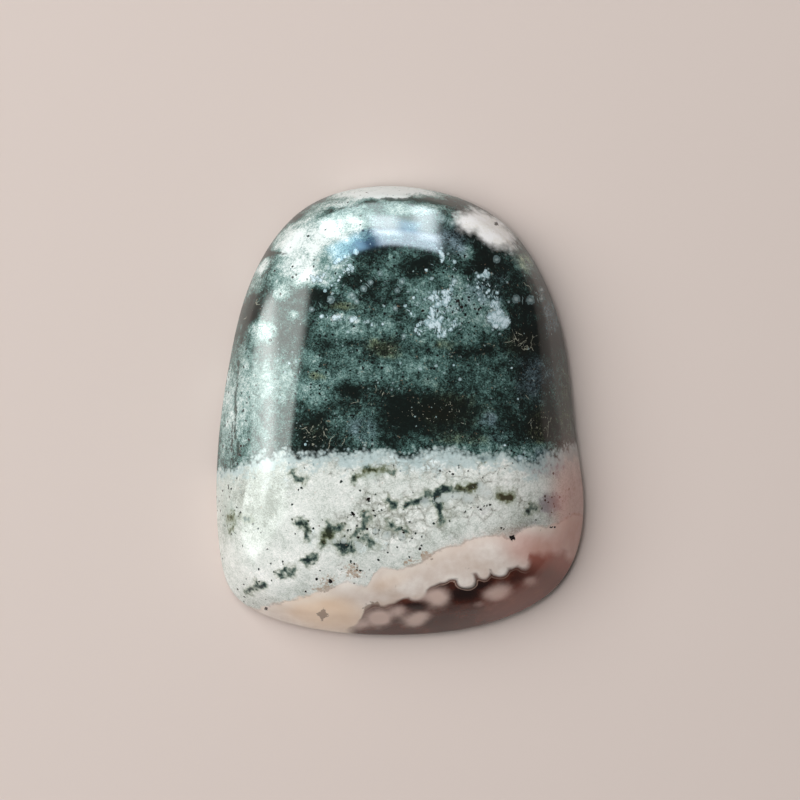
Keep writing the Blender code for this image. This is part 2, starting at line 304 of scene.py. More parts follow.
# Frost: the bluish white of the pale band along its upper edge.
FROST = (
    (1.5, -2.8, 2.6, 0.9, 0, 0.7), (-2.5, -2.8, 2.4, 0.6, 0, 0.6), (-2.0, -7.2, 1.2, 0.6, 0, 0.7),
    (1.8, -4.9, 1.4, 0.3, 10, 0.5), (-7.0, -3.6, 1.5, 1.0, 0, 0.4), (-4.9, -7.0, 0.4, 0.7, 0, 0.5),
)

# Dark green lines: along the crease at the far end and at the left, and short streaks.
DARK_LINES = (
    (0.04, ((-3.4, 11.2), (-1.9, 11.45), (-0.8, 11.7))),
    (0.09, ((-0.8, 11.7), (0.6, 11.72), (1.6, 11.65), (3.0, 11.35))),
    (0.05, ((-8.95, 2.8), (-9.1, 1.0), (-9.14, -0.5), (-9.1, -1.6))),
    (0.025, ((-9.28, -0.6), (-9.33, -2.0), (-9.2, -3.4))),
    (0.03, ((-9.02, -1.6), (-9.06, -3.0), (-8.98, -4.6), (-8.9, -5.6))),
    (0.08, ((-9.0, -1.8), (-8.98, -2.5))), (0.05, ((-6.3, 8.7), (-7.1, 8.75), (-7.5, 8.6))),
    (0.05, ((2.35, 11.0), (2.2, 10.4), (2.2, 9.9))),
)

# Green moss in the pale band: each vein is its half width and the points that it passes through.
MOSS = (
    (0.16, ((0.4, -5.15), (1.0, -4.9), (1.6, -4.65), (2.5, -4.35), (3.3, -4.3), (4.1, -4.15))),
    (0.14, ((1.9, -4.75), (2.1, -5.4), (2.2, -6.0))), (0.12, ((3.3, -4.3), (3.9, -4.4))),
    (0.22, ((5.6, -4.8), (6.0, -4.75))),
    (0.04, ((-2.3, -3.6), (-1.9, -3.35), (-1.3, -3.3), (-0.4, -3.35))),
    (0.05, ((-2.6, -3.7), (-2.1, -3.6))), (0.05, ((-5.95, -3.35), (-5.5, -3.85), (-5.2, -3.75))),
    (0.19, ((-3.85, -6.4), (-3.8, -6.9))), (0.14, ((-4.15, -6.8), (-4.2, -7.3))),
    (0.06, ((-3.8, -6.35), (-3.1, -6.4))), (0.19, ((-3.4, -7.35), (-3.1, -7.55), (-2.7, -7.5))),
    (0.07, ((-2.9, -7.05), (-2.45, -6.85), (-2.0, -6.4), (-1.85, -5.8))),
    (0.06, ((-2.3, -6.85), (-1.9, -6.9), (-1.5, -7.35))),
    (0.10, ((-5.6, -6.35), (-5.2, -6.3), (-5.15, -6.9))), (0.15, ((-5.15, -8.35), (-4.8, -8.05))),
    (0.10, ((-6.6, -8.95), (-6.45, -9.1))), (0.09, ((-6.15, -8.7), (-5.95, -8.9))),
    (0.13, ((-7.9, -9.6), (-7.6, -9.8))), (0.10, ((-8.3, -10.15), (-8.1, -10.0))),
    (0.09, ((-0.6, -6.2), (-0.3, -6.5), (0.2, -6.6))), (0.10, ((7.1, -5.6), (7.5, -5.35))),
    (0.04, ((-8.9, -5.9), (-8.2, -6.1))), (0.02, ((-9.4, -5.8), (-9.3, -6.5))),
    (0.10, ((-0.6, -4.9), (-0.3, -5.2))), (0.07, ((-2.0, -5.7), (-1.7, -5.9))),
    (0.07, ((4.5, -2.7), (5.2, -2.5))),
)

# Round lobes of the pale band beside the moss, each ringed by painted shadow: x, y and radius.
ROUND_LOBES = (
    (1.38, -5.04, 0.27), (2.12, -4.9, 0.17), (2.42, -4.8, 0.22), (2.72, -4.68, 0.17), (3.08, -4.66, 0.2),
    (3.62, -4.76, 0.3), (3.95, -4.86, 0.2), (4.43, -4.08, 0.2), (4.36, -4.47, 0.18), (4.8, -4.55, 0.27),
    (-3.1, -7.15, 0.17), (-3.6, -7.2, 0.14), (-2.3, -7.4, 0.2), (-1.35, -6.6, 0.16), (-0.7, -6.85, 0.24),
    (0.12, -6.9, 0.22),
)

# Soft stains in the pale band: sage green round the moss and down the left rim, violet at the right.
SAGE = (
    (-9.7, -4.6, 0.6, 2.6, 0, 0.6), (-9.2, -6.1, 0.8, 0.8, 0, 0.4), (-4.0, -6.9, 0.8, 0.8, 0, 0.7),
    (-1.6, -3.5, 1.3, 0.4, 15, 0.9), (-2.4, -7.2, 1.6, 0.5, 0, 0.3), (1.5, -4.8, 2.0, 0.4, 15, 0.3),
    (3.7, -4.2, 0.8, 0.4, 0, 0.9), (-5.3, -6.5, 0.5, 0.5, 0, 0.5), (5.8, -4.8, 0.7, 0.4, 0, 1.0),
    (4.0, -2.6, 1.4, 0.4, -10, 0.5), (-6.5, -8.9, 0.8, 0.3, 0, 0.4),
)
VIOLET = (
    (8.3, -5.1, 0.7, 0.6, 0, 1.5), (8.1, -3.1, 1.2, 0.8, 0, 1.0), (6.9, -6.4, 1.3, 0.4, 20, 0.6),
    (4.5, -5.5, 0.5, 0.4, 0, 0.5), (7.2, -5.6, 0.6, 0.4, 20, 0.4),
)

# Lighter and darker clouds in the pale band.
PALE_CLOUDS = (
    (-7.7, -4.5, 1.4, 2.6, 0, -0.46), (-9.7, -4.5, 0.6, 3.0, 0, -0.10), (-8.8, -8.4, 1.5, 1.6, 0, 0.02),
    (-9.2, -6.4, 1.0, 1.0, 0, -0.14), (-6.4, -8.8, 2.0, 1.0, 15, 0.24), (-6.0, -6.2, 1.2, 0.7, 0, 0.14),
    (-4.5, -4.6, 2.0, 1.2, 0, 0.06), (5.3, -3.4, 1.4, 0.7, -15, 0.12), (3.6, -5.4, 1.2, 0.8, 10, 0.02),
    (7.0, -5.6, 1.2, 0.7, 0, -0.26), (6.5, -6.5, 1.6, 0.45, 10, -0.28), (-0.2, -7.8, 1.5, 0.4, 20, 0.10),
    (-6.2, -7.9, 1.8, 0.5, 0, 0.06), (-0.3, -5.3, 0.8, 0.6, 0, 0.08), (-2.4, -9.0, 1.6, 0.5, 0, 0.16),
    (0.5, -6.9, 1.6, 0.6, 10, 0.14), (-1.0, -5.8, 0.9, 0.9, 0, 0.10), (2.0, -3.1, 2.4, 0.7, 0, 0.08),
    (2.6, -6.9, 1.6, 0.4, 25, -0.10), (-1.2, -2.9, 1.6, 0.4, 0, 0.08), (0.8, -6.0, 1.0, 0.5, 0, 0.06),
)

# Where painted shade lies between the pale band's lobes, and where black specks are thick.
LOBE_SHADE_PATCHES = (
    (1.4, -5.8, 2.4, 1.6, 10, 0.75), (-1.0, -6.2, 1.5, 1.5, 0, 0.8), (5.6, -4.8, 2.4, 1.6, 0, 0.55),
    (-1.5, -4.9, 1.5, 0.9, 0, 0.5), (-3.5, -6.8, 2.0, 1.2, 0, 0.55), (2.0, -3.4, 3.0, 0.7, 0, 0.35),
    (-0.5, -2.9, 6.5, 0.7, 0, 0.65),
)
SPECKS = (
    (-2.7, -5.7, 0.4, 0.3, 0, 0.4), (-8.8, -5.9, 1.0, 0.7, 0, 0.22), (-5.4, -6.3, 0.9, 0.4, 0, 0.2),
    (-2.4, -6.6, 1.4, 0.7, 0, 0.25), (-9.9, -5.3, 0.5, 1.2, 0, 0.12), (-2.5, -8.7, 0.7, 0.6, 0, 0.3),
    (4.5, -5.3, 0.5, 0.5, 0, 0.3), (2.5, -3.3, 0.8, 0.3, 0, 0.2), (-5.4, -2.8, 0.9, 0.5, 0, 0.3),
    (6.5, -2.6, 0.8, 0.5, 0, 0.3), (0.3, -6.8, 0.6, 0.6, 0, 0.2), (-7.2, -8.8, 1.4, 0.6, 20, 0.12),
    (-9.1, -2.0, 0.3, 0.9, 0, 0.5), (3.4, 5.8, 1.0, 0.7, 0, 0.3), (8.3, -5.1, 0.5, 0.45, 0, 0.35),
    (-1.5, -5.2, 1.5, 1.0, 0, 0.1), (-5.2, 9.4, 3.5, 2.4, 0, -0.05), (0.0, 12.2, 5.0, 0.6, 0, -0.05),
    (-7.8, 4.2, 1.0, 1.0, 0, -0.05),
)

# Beige flecked patches along the cream's upper edge and its apricot left end, and a rosy cast on the right
# flank, partly painted light.
BEIGE = (
    (-2.6, -8.8, 0.6, 0.5, 0, 0.7), (-4.2, -9.8, 0.5, 0.3, 0, 0.8), (1.5, -8.15, 0.45, 0.3, 0, 0.8),
    (0.5, -8.3, 0.4, 0.25, 0, 0.6), (-3.9, -9.3, 0.5, 0.4, 0, 0.5), (-4.3, -11.3, 0.42, 0.12, -15, 1.4),
    (-4.25, -11.4, 0.45, 0.1, 75, 1.4), (-1.6, -10.85, 0.5, 0.25, 20, 1.6),
    (-0.4, -9.9, 0.2, 0.3, 0, 0.4), (3.75, -8.75, 0.25, 0.15, -30, 0.7),
)
WARM = ((-4.2, -11.2, 2.6, 1.2, -10, 0.9), (-0.6, -9.4, 1.5, 0.6, 20, 0.4))
# The rosy cast is partly the stone's own tint and partly painted reflection of skin and painted shade.
ROSE_TINT_REFLECTION_AND_SHADE = (
    (5.8, -4.8, 3.0, 2.0, 0, 0.14), (10.0, -5.8, 1.6, 3.8, 8, 1.0), (7.5, -7.7, 2.0, 1.1, -10, 0.75),
    (7.2, -10.4, 3.6, 1.3, 25, 0.5), (3.8, -7.3, 2.5, 0.6, 15, 0.2),
)

# Where a fine double line rims the brown.
EDGE_RIM = ((3.2, -9.4, 1.9, 0.8, 0, 0.9), (-1.2, -10.9, 0.9, 0.5, 0, 0.5), (6.2, -9.1, 0.9, 0.4, 0, 0.4))

# Dark cores and soft pale orbs in the brown, translucent foot.
BROWN_CORES = (
    (0.8, -10.85, 0.75, 0.25, 0, 0.9), (3.6, -10.1, 0.95, 0.45, 0, 1.0), (8.3, -8.9, 0.5, 0.5, 0, 0.6),
    (4.5, -9.55, 0.7, 0.22, 10, 0.8), (7.6, -8.3, 0.6, 0.25, 0, 0.5), (2.4, -9.6, 0.8, 0.14, 0, 0.7),
    (6.6, -9.25, 0.6, 0.2, 0, 0.5),
)
SOFT_ORBS = (
    (2.1, -10.3, 0.72, 0.6, 0, 1.0), (0.95, -11.55, 0.75, 0.4, 18, 0.95),
    (-1.1, -11.5, 0.52, 0.35, 0, 1.0), (5.4, -10.05, 0.85, 0.5, 15, 0.9),
    (7.2, -9.45, 0.5, 0.38, 10, 0.55), (-0.1, -11.1, 0.5, 0.35, 0, 0.5),
    (-1.5, -11.5, 1.6, 0.8, 10, 0.42), (1.0, -10.3, 0.5, 0.3, 0, 0.6), (4.4, -10.8, 0.4, 0.2, 0, 0.3),
    (-2.2, -11.9, 0.5, 0.3, 20, 0.4),
)

# Small agate orbs, each a bright dot inside a ring, and open pits and holes, dark with painted shade: x, y
# and radius.
ORBS = (
    (6.4, 6.15, 0.25), (7.2, 6.1, 0.27), (7.85, 6.7, 0.2), (7.85, 6.2, 0.18), (-1.62, 7.05, 0.17),
    (-2.0, 6.7, 0.2), (-3.82, 6.12, 0.22), (-4.87, 5.58, 0.17), (-0.25, 5.65, 0.15), (0.1, 7.1, 0.18),
    (3.0, 7.15, 0.17), (-1.1, 7.55, 0.16), (-2.65, 6.35, 0.2), (5.35, 8.35, 0.22), (2.35, 10.6, 0.24),
    (0.2, 4.1, 0.15), (-0.15, 6.6, 0.15), (6.6, -2.65, 0.2), (-2.4, 6.0, 0.17), (2.9, 10.35, 0.2),
)
PITS = (
    (5.35, 10.35, 0.11), (-1.75, -4.85, 0.1), (-1.45, -5.5, 0.06), (-4.6, -9.3, 0.08), (-3.85, -9.4, 0.1),
    (-5.2, -10.0, 0.07), (-7.45, -11.0, 0.1), (6.2, -7.0, 0.15), (8.3, -6.45, 0.05), (8.55, -6.45, 0.05),
    (1.1, -7.6, 0.08), (5.6, -6.45, 0.05), (-2.55, -5.7, 0.09), (-4.45, -6.35, 0.07), (-2.3, -6.95, 0.09),
    (-1.8, -6.5, 0.08), (0.1, -6.45, 0.06), (0.2, -6.7, 0.07), (4.55, -3.7, 0.05), (2.2, -3.3, 0.07),
    (2.9, -3.5, 0.07), (-8.85, -2.45, 0.07), (-8.35, -1.6, 0.06), (-8.8, -1.95, 0.08), (-7.15, 3.9, 0.08),
    (3.22, 6.05, 0.09), (3.27, 5.86, 0.07), (3.38, 5.66, 0.06), (2.9, 5.42, 0.07), (4.12, 5.62, 0.07),
    (4.32, 5.56, 0.08), (1.25, 5.5, 0.07), (2.8, 6.4, 0.05), (3.4, 4.8, 0.05), (3.8, 4.85, 0.05),
    (4.45, 5.7, 0.05),
)

# Gold hairs in the dark parts: x, y, half length and turn, and beds of finer ones: x, y, half width,
# half height and number.
HAIRS = (
    (6.0, 3.82, 0.3, 15), (6.4, 3.88, 0.22, -20), (6.4, 3.98, 0.27, -65), (6.72, 3.7, 0.27, 48),
    (6.85, 3.4, 0.18, -15), (7.15, 3.7, 0.33, 63), (7.38, 4.02, 0.27, 22), (6.65, 4.22, 0.18, -35),
    (7.3, 3.42, 0.16, -70), (6.95, 3.58, 0.3, 20), (8.22, -1.0, 0.5, 82), (8.3, -0.5, 0.18, 60),
    (7.2, -0.6, 0.2, 60), (7.25, -0.85, 0.15, -50), (7.05, 7.02, 0.24, -30), (7.28, 6.82, 0.12, -60),
    (-5.3, -0.95, 0.15, 30), (-5.05, -1.1, 0.2, -40), (-4.85, -0.92, 0.14, 70), (-4.72, -1.4, 0.12, 20),
    (-4.05, -1.28, 0.25, -60), (-3.88, -1.62, 0.25, 80), (-3.72, -1.4, 0.16, 35),
    (-3.95, -1.98, 0.15, 60), (-3.1, -1.8, 0.15, 50), (-2.5, 0.38, 0.2, 20), (-2.32, 0.5, 0.12, 80),
    (-1.3, 1.22, 0.18, 85), (-0.92, 0.92, 0.14, 70), (-0.4, 0.8, 0.1, 20), (-7.95, 6.05, 0.16, 60),
    (-7.85, 5.9, 0.12, -20), (-8.6, 5.15, 0.15, 40), (6.2, 8.3, 0.1, 30), (7.0, 0.75, 0.18, -50),
)
HAIR_BEDS = (
    (2.2, -0.3, 2.1, 0.9, 22), (-4.9, -1.2, 1.0, 0.8, 9), (7.6, -0.6, 0.8, 1.0, 9),
    (-1.0, 3.2, 0.9, 0.5, 7), (-2.4, -1.6, 0.9, 0.8, 7), (7.4, 2.0, 1.1, 1.5, 9), (3.5, 3.3, 2.0, 0.6, 6),
    (6.8, 3.8, 0.8, 0.5, 6),
)
HAIR_SEED = 11

# The cream-white patch beside the far end: x, y, half width, half height and turn.
CREAM_PATCH = ((4.1, 10.42, 0.9, 0.52, -15), (5.1, 10.05, 1.35, 0.72, -38))

# The bands run straight through the stone, and the dome's own patches and veins end above its back.
PATTERN_ENDS_BELOW = 0.6

# How far a mineral's edge wanders, ragged or gently waved, and a depth or a distance that puts a
# point out of every vein's and orb's reach, all in millimetres.
RAGGED_BY = 0.16
WAVY_BY = 0.07
OUT_OF_REACH = 9.0
NOISE_LATTICE = 24


def soft_noise(at, size, seed, octaves=3):
    """Noise from about -1 to 1 in space: random values on a cubic lattice of that size in
    millimetres, blended by a smooth step, and each octave half the size and strength of the last."""
    values = np.random.default_rng(seed).uniform(-1.0, 1.0, (NOISE_LATTICE,) * 3)
    total = np.zeros(len(at))
    for octave in range(octaves):
        scaled = at / size * 2**octave + 7.3 * (octave + 1)
        cell = np.floor(scaled).astype(int)
        part = scaled - cell
        part = part * part * (3 - 2 * part)
        for corner in np.ndindex(2, 2, 2):
            weight = np.prod(np.where(corner, part, 1 - part), axis=1)
            index = (cell + corner) % NOISE_LATTICE
            total += weight * values[index[:, 0], index[:, 1], index[:, 2]] / 2**octave
    return total


def ellipse_share(at, x, y, half_width, half_height, turn):
    """How far each point is from an ellipse's middle, as a share: 0 there and 1 on its edge."""
    turn = np.radians(turn)
    across, along = at[:, 0] - x, at[:, 1] - y
    u = (across * np.cos(turn) + along * np.sin(turn)) / half_width
    v = (along * np.cos(turn) - across * np.sin(turn)) / half_height
    return np.hypot(u, v)


def clouds(at, ellipses, firmness=3):
    """The sum of soft ellipses: each its strength times e to the minus of the distance share raised
    to the firmness, so that a higher firmness gives a flatter middle and a steeper edge."""
    return sum(strength * np.exp(-ellipse_share(at, *shape) ** firmness) for *shape, strength in ellipses)


def height_above(at, edge):
    """How far each point lies above an edge line, in millimetres, measured up the stone."""
    line = np.array(edge)
    return at[:, 1] - np.interp(at[:, 0], line[:, 0], line[:, 1])


def patch_depth(at, ellipses):
    """How far each point lies inside the nearest ellipse, in millimetres, negative outside all."""
    return np.max([(1 - ellipse_share(at, *shape)) * min(shape[2], shape[3]) for shape in ellipses], axis=0)


def vein_depth(at, veins):
    """How far each point lies inside the nearest vein, in millimetres: its half width less the
    distance to the nearest of its straight stretches."""
    best = np.full(len(at), -OUT_OF_REACH)
    for half_width, points in veins:
        for start, end in zip(np.array(points[:-1]), np.array(points[1:])):
            along = np.clip((at[:, :2] - start) @ (end - start) / ((end - start) @ (end - start)), 0, 1)
            nearest = start + along[:, None] * (end - start)
            best = np.maximum(best, half_width - np.hypot(*(at[:, :2] - nearest).T))
    return best


def nearest_disc(at, discs):
    """The offset from the nearest disc's centre in shares of its radius, so that a length of 1 is
    its edge. It is linear in the place, so it stays exact between the mesh's points."""
    offsets = np.stack([(at[:, :2] - (x, y)) / radius for x, y, radius in discs])
    nearest = np.argmin(np.hypot(offsets[..., 0], offsets[..., 1]), axis=0)
    return offsets[nearest, np.arange(len(at))]


def scattered_hairs():
    """Finer hairs at random in their beds: a place in the bed's ellipse, a half length and a turn each."""
    random = np.random.default_rng(HAIR_SEED)
    hairs = []
    for x, y, half_width, half_height, number in HAIR_BEDS:
        reach, around = np.sqrt(random.uniform(0, 1, number)), random.uniform(0, 2 * np.pi, number)
        across, along = x + half_width * reach * np.cos(around), y + half_height * reach * np.sin(around)
        hairs += zip(across, along, random.uniform(0.02, 0.07, number), random.uniform(0, 180, number))
    return hairs


def nearest_hair(at, hairs):
    """The place along the nearest straight hair, as a share of its half length, and across it, in
    millimetres. Both are linear in the place, so they stay exact between the mesh's points."""
    best, offset = np.full(len(at), np.inf), np.zeros((len(at), 2))
    for x, y, half_length, turn in hairs:
        cosine, sine = np.cos(np.radians(turn)), np.sin(np.radians(turn))
        along = (at[:, 0] - x) * cosine + (at[:, 1] - y) * sine
        across = (at[:, 1] - y) * cosine - (at[:, 0] - x) * sine
        distance = np.hypot(np.maximum(np.abs(along) - half_length, 0), across)
        nearer = distance < best
        best[nearer] = distance[nearer]
        offset[nearer] = np.column_stack([along / half_length, across])[nearer]
    return offset


shown = np.clip(places[:, 2] / PATTERN_ENDS_BELOW, 0, 1)
hidden = OUT_OF_REACH * (1 - shown)
ragged = places + RAGGED_BY * np.column_stack([soft_noise(places, 0.9, seed, 3) for seed in (1, 2, 3)])
wavy = places + WAVY_BY * np.column_stack([soft_noise(places, 0.8, seed, 2) for seed in (6, 7, 8)])
bumpy = soft_noise(places, 0.7, 4, 3)
cloudy = soft_noise(places, 2.4, 5, 4)

# The brown lies under its edge line and outside the cream's lobes. It fades in softly from its left
# end, and its edge turns soft at the right, where it lies deeper in the stone.
BROWN_LEFT_END = -2.6
BROWN_FADES_IN = 0.25
BROWN_SOFTENS = ((6.3, 7.6), (1.0, 0.4))
brown = -height_above(wavy, BROWN_EDGE)
brown = np.minimum(brown, -patch_depth(wavy, [(x, y, r, r, 0) for x, y, r in CREAM_LOBES]))
brown = np.minimum(brown, BROWN_FADES_IN * (wavy[:, 0] - BROWN_LEFT_END))
brown *= np.interp(places[:, 0], *BROWN_SOFTENS)

# The tones of the plain green body and of the plain pale band, as shares of their colour ramps.
GREEN_TONE = 0.22
PALE_TONE = 0.56
fields = {
    "tone": GREEN_TONE
    + (clouds(ragged, CLOUDS_AND_LEFT_REFLECTION) + clouds(ragged, WHITES, 4)) * shown
    + (0.06 + 0.20 * (1 - shown)) * cloudy,
    "pale": -height_above(ragged, GREEN_EDGE) + 0.09 * bumpy,
    "patch": patch_depth(wavy, CREAM_PATCH) - hidden,
    "cream": -height_above(ragged, CREAM_EDGE),
    "brown": brown,
    "sugar": clouds(ragged, SUGAR) * shown,
    "olive": clouds(ragged, OLIVE) * shown + 0.3 * (1 - shown) * np.maximum(bumpy, 0),
    "slate": clouds(ragged, SLATE) * shown,
    "frost": clouds(ragged, FROST) * shown,
    "dark_line": vein_depth(wavy, DARK_LINES) - hidden,
    "moss": vein_depth(ragged, MOSS) - hidden,
    "sage": clouds(ragged, SAGE) * shown,
    "violet": clouds(ragged, VIOLET) * shown,
    "pale_tone": PALE_TONE + clouds(ragged, PALE_CLOUDS) * shown,
    "shade_between_lobes": 0.1 + clouds(ragged, LOBE_SHADE_PATCHES) * shown,
    "speck": 0.015 + 0.05 * (height_above(places, GREEN_EDGE) > 0) + clouds(ragged, SPECKS) * shown,
    "beige": clouds(ragged, BEIGE) * shown,
    "warm": clouds(places, WARM) * shown,
    "rose_tint_reflection_and_shade": clouds(places, ROSE_TINT_REFLECTION_AND_SHADE) * shown,
    "rim": clouds(places, EDGE_RIM) * shown,
    "core": clouds(wavy, BROWN_CORES) * shown,
    "soft_orb": clouds(wavy, SOFT_ORBS, 2.5) * shown,
}
for name, values in fields.items():
    stone_mesh.attributes.new(name, "FLOAT", "POINT").data.foreach_set("value", values.astype(np.float32))
offsets = {
    "orb": nearest_disc(places, ORBS),
    "pit": nearest_disc(places, PITS),
    "lump": nearest_disc(places, LUMPS),
    "round_lobe": nearest_disc(places, ROUND_LOBES),
    "hair": nearest_hair(places, (*HAIRS, *scattered_hairs())),
}
for name, shares in offsets.items():
    vectors = np.column_stack([shares + OUT_OF_REACH * hidden[:, None], 0 * shown]).astype(np.float32)
    stone_mesh.attributes.new(name, "FLOAT_VECTOR", "POINT").data.foreach_set("vector", vectors.ravel())

# Chalcedony, cut and diamond-polished: quartz's IOR and a wet gloss over a pattern that lies in the
# stone. To the eye it is glassy, with windows that show sharply over soft clouds.
QUARTZ_IOR = 1.54
POLISH = 0.1

agate = bpy.data.materials.new("polished_chalcedony")
agate.use_nodes = True
tree = agate.node_tree
shader = tree.nodes["Principled BSDF"]


def paint(code):
    """A colour from an sRGB hex code, turned to linear."""
    channels = np.array([int(code[i : i + 2], 16) for i in (1, 3, 5)]) / 255
    linear = np.where(channels <= 0.04045, channels / 12.92, ((channels + 0.055) / 1.055) ** 2.4)
    return (*linear.tolist(), 1.0)


def add(kind, inputs=None, out=0, stops=(), **settings):
    """Adds a node with its settings, sets or links its inputs (by name or number), gives a colour
    ramp its stops, and returns one of its outputs."""
    node = tree.nodes.new(kind)
    for name, value in settings.items():
        setattr(node, name, value)
    for key, value in (inputs or {}).items():
        if isinstance(value, bpy.types.NodeSocket):
            tree.links.new(value, node.inputs[key])
        else:
            node.inputs[key].default_value = value
    for number, (position, code) in enumerate(stops):
        elements = node.color_ramp.elements
        stop = elements[number] if number < len(elements) else elements.new(position)
        stop.position, stop.color = position, paint(code)
    return node.outputs[out]


def broken(value, *grains):
    """A field with grains added, each about its middle of 0.5 and times its strength, so that the
    mineral's edge breaks up and its tone varies."""
    for grain, strength in grains:
        centred = add("ShaderNodeMath", {0: grain, 1: -0.5}, operation="ADD")
        value = add("ShaderNodeMath", {0: centred, 1: strength, 2: value}, operation="MULTIPLY_ADD")
    return value


def lay(under, stain, value, start, full, strength=1.0, **settings):
    """Lays a mineral's stain over the colour under it: none of it where the value is at start, its
    whole strength from full on, and a smooth step in between. Each is a hex code or worked out."""
    under, stain = (paint(layer) if isinstance(layer, str) else layer for layer in (under, stain))
    inputs = {0: value, 1: start, 2: full, 4: strength}
    share = add("ShaderNodeMapRange", inputs, interpolation_type="SMOOTHSTEP")
    return add("ShaderNodeMix", {0: share, 6: under, 7: stain}, out=2, data_type="RGBA", **settings)


place = add("ShaderNodeTexCoord", out="Object")
place_mm = add("ShaderNodeVectorMath", {0: place, "Scale": 1 / MM}, operation="SCALE")
field = {name: add("ShaderNodeAttribute", out="Fac", attribute_name=name) for name in fields}
offset = {name: add("ShaderNodeAttribute", out="Vector", attribute_name=name) for name in offsets}
radius = {
    name: add("ShaderNodeVectorMath", {0: offset[name]}, out="Value", operation="LENGTH")
    for name in offsets
}

# Soft noise about 0.5, by the size in millimetres of its largest shapes.
swells, billows, mottle, grit = (
    add("ShaderNodeTexNoise", {"Vector": place_mm, "Scale": 1 / size, "Detail": detail, "Roughness": 0.6})
    for size, detail in ((2.0, 3.0), (0.9, 4.0), (0.4, 3.0), (0.17, 2.0))
)

# A drift that pulls the larger grains out of round: the size of its shapes and how far it reaches.
DRIFT_SIZE = 0.7
DRIFT_REACH = 0.8
drift_inputs = {"Vector": place_mm, "Scale": 1 / DRIFT_SIZE, "Detail": 4.0, "Roughness": 0.6}
drift = add("ShaderNodeTexNoise", drift_inputs, out="Color")
drift_mm = add("ShaderNodeVectorMath", {0: drift, "Scale": DRIFT_REACH}, operation="SCALE")
swirled = add("ShaderNodeVectorMath", {0: place_mm, 1: drift_mm}, operation="ADD")

# Rounded grains, by their size in millimetres: how far it is to the middle of one, three chances of
# its own, and for the large ones, which drift out of round, how far it is to the gap beside it. The
# dust stands for quartz grains too fine to see, drawn as coarse as it needs to show.
FINE_GRAIN = 0.3
middle, gap, chance = {}, {}, {}
for name, size in (("lobe", 0.85), ("blob", 0.42), ("grain", 0.22), ("fleck", 0.17), ("dust", 0.06)):
    inputs = {"Vector": swirled if size > FINE_GRAIN else place_mm, "Scale": 1 / size}
    cell = add("ShaderNodeTexVoronoi", inputs).node
    middle[name] = cell.outputs["Distance"]
    chance[name] = add("ShaderNodeSeparateColor", {0: cell.outputs["Color"]}).node.outputs
    if size > FINE_GRAIN:
        gap[name] = add("ShaderNodeTexVoronoi", inputs, feature="DISTANCE_TO_EDGE")

# The green body: nearly black where the moss is dense, teal-grey where the quartz clears, white
# where it turned to sugar.
tone = broken(
    field["tone"], (billows, 0.6), (mottle, 0.22), (grit, 0.18), (middle["blob"], -0.20),
    (middle["grain"], -0.14), (chance["blob"][2], 0.10), (chance["dust"][0], 0.30),
)
green = add(
    "ShaderNodeValToRGB",
    {0: tone},
    stops=(
        (0.0, "#09120f"), (0.16, "#172723"), (0.32, "#344d49"), (0.5, "#5f7f7a"),
        (0.68, "#93aaa6"), (0.84, "#c3d1ce"), (1.0, "#e3ebe9"),
    ),
)
green = lay(green, "#575c3e", broken(field["olive"], (billows, 1.6)), 0.2, 1.1, 0.8, blend_type="COLOR")
green = lay(green, "#647481", broken(field["slate"], (billows, 1.6)), 0.2, 1.1, 0.7, blend_type="COLOR")

# Loose sugar grains where it is thick, sparks and dark flecks anywhere, and lumps with dark rims.
sugared = add("ShaderNodeMath", {0: chance["grain"][0], 1: field["sugar"]}, operation="LESS_THAN")
sugar_share = add("ShaderNodeMath", {0: sugared, 1: 0.65}, operation="MULTIPLY")
green = lay(green, "#aac0c5", broken(middle["grain"], (grit, 0.9)), 0.55, 0.15, sugar_share)
spark = add("ShaderNodeMath", {0: chance["fleck"][1], 1: 0.05}, operation="LESS_THAN")
green = lay(green, "#7f9494", broken(middle["fleck"], (grit, 1.2)), 0.31, 0.06, spark)
flecked = add("ShaderNodeMath", {0: chance["fleck"][0], 1: field["speck"]}, operation="LESS_THAN")
fleck_reach = broken(middle["fleck"], (grit, 1.2))
green = lay(green, "#0c1413", fleck_reach, 0.55, 0.3, flecked)
lump_reach = broken(radius["lump"], (grit, 1.0), (mottle, 0.5), (chance["dust"][0], 0.3))
green = lay(green, "#111a19", lump_reach, 1.5, 1.1, 0.6)
green = lay(green, "#8ca9ae", lump_reach, 1.1, 0.85, 0.9)
lump_core = broken(lump_reach, (chance["dust"][1], 0.8), (middle["grain"], 1.2))
green = lay(green, "#d2e2e8", lump_core, 0.95, 0.2, 0.85)
green = lay(green, "#1d3029", broken(field["dark_line"], (grit, 0.15), (mottle, 0.2)), -0.05, 0.03, 0.85)

# Small agate orbs, a bright dot in a ring each, and gold hairs, which bend a little.
orb_reach = broken(radius["orb"], (grit, 1.2))
orb_rings = add(
    "ShaderNodeValToRGB",
    {0: orb_reach},
    stops=((0.0, "#cddadb"), (0.35, "#9fb5b7"), (0.6, "#5a7072"), (0.85, "#8ba3a4"), (1.0, "#2a3b3d")),
)
green = lay(green, orb_rings, orb_reach, 1.3, 0.7, 0.55)
hair = add("ShaderNodeSeparateXYZ", {0: offset["hair"]}).node.outputs
across_hair = broken(hair["Y"], (billows, 0.5), (mottle, 0.12))
from_hair = add("ShaderNodeMath", {0: across_hair}, operation="ABSOLUTE")
to_tip = add("ShaderNodeMath", {0: hair["X"]}, operation="ABSOLUTE")
on_hair = add("ShaderNodeMapRange", {0: to_tip, 1: 1.15, 2: 0.5, 4: 0.55}, interpolation_type="SMOOTHSTEP")
green = lay(green, "#bfc0ad", from_hair, 0.027, 0.0, on_hair)
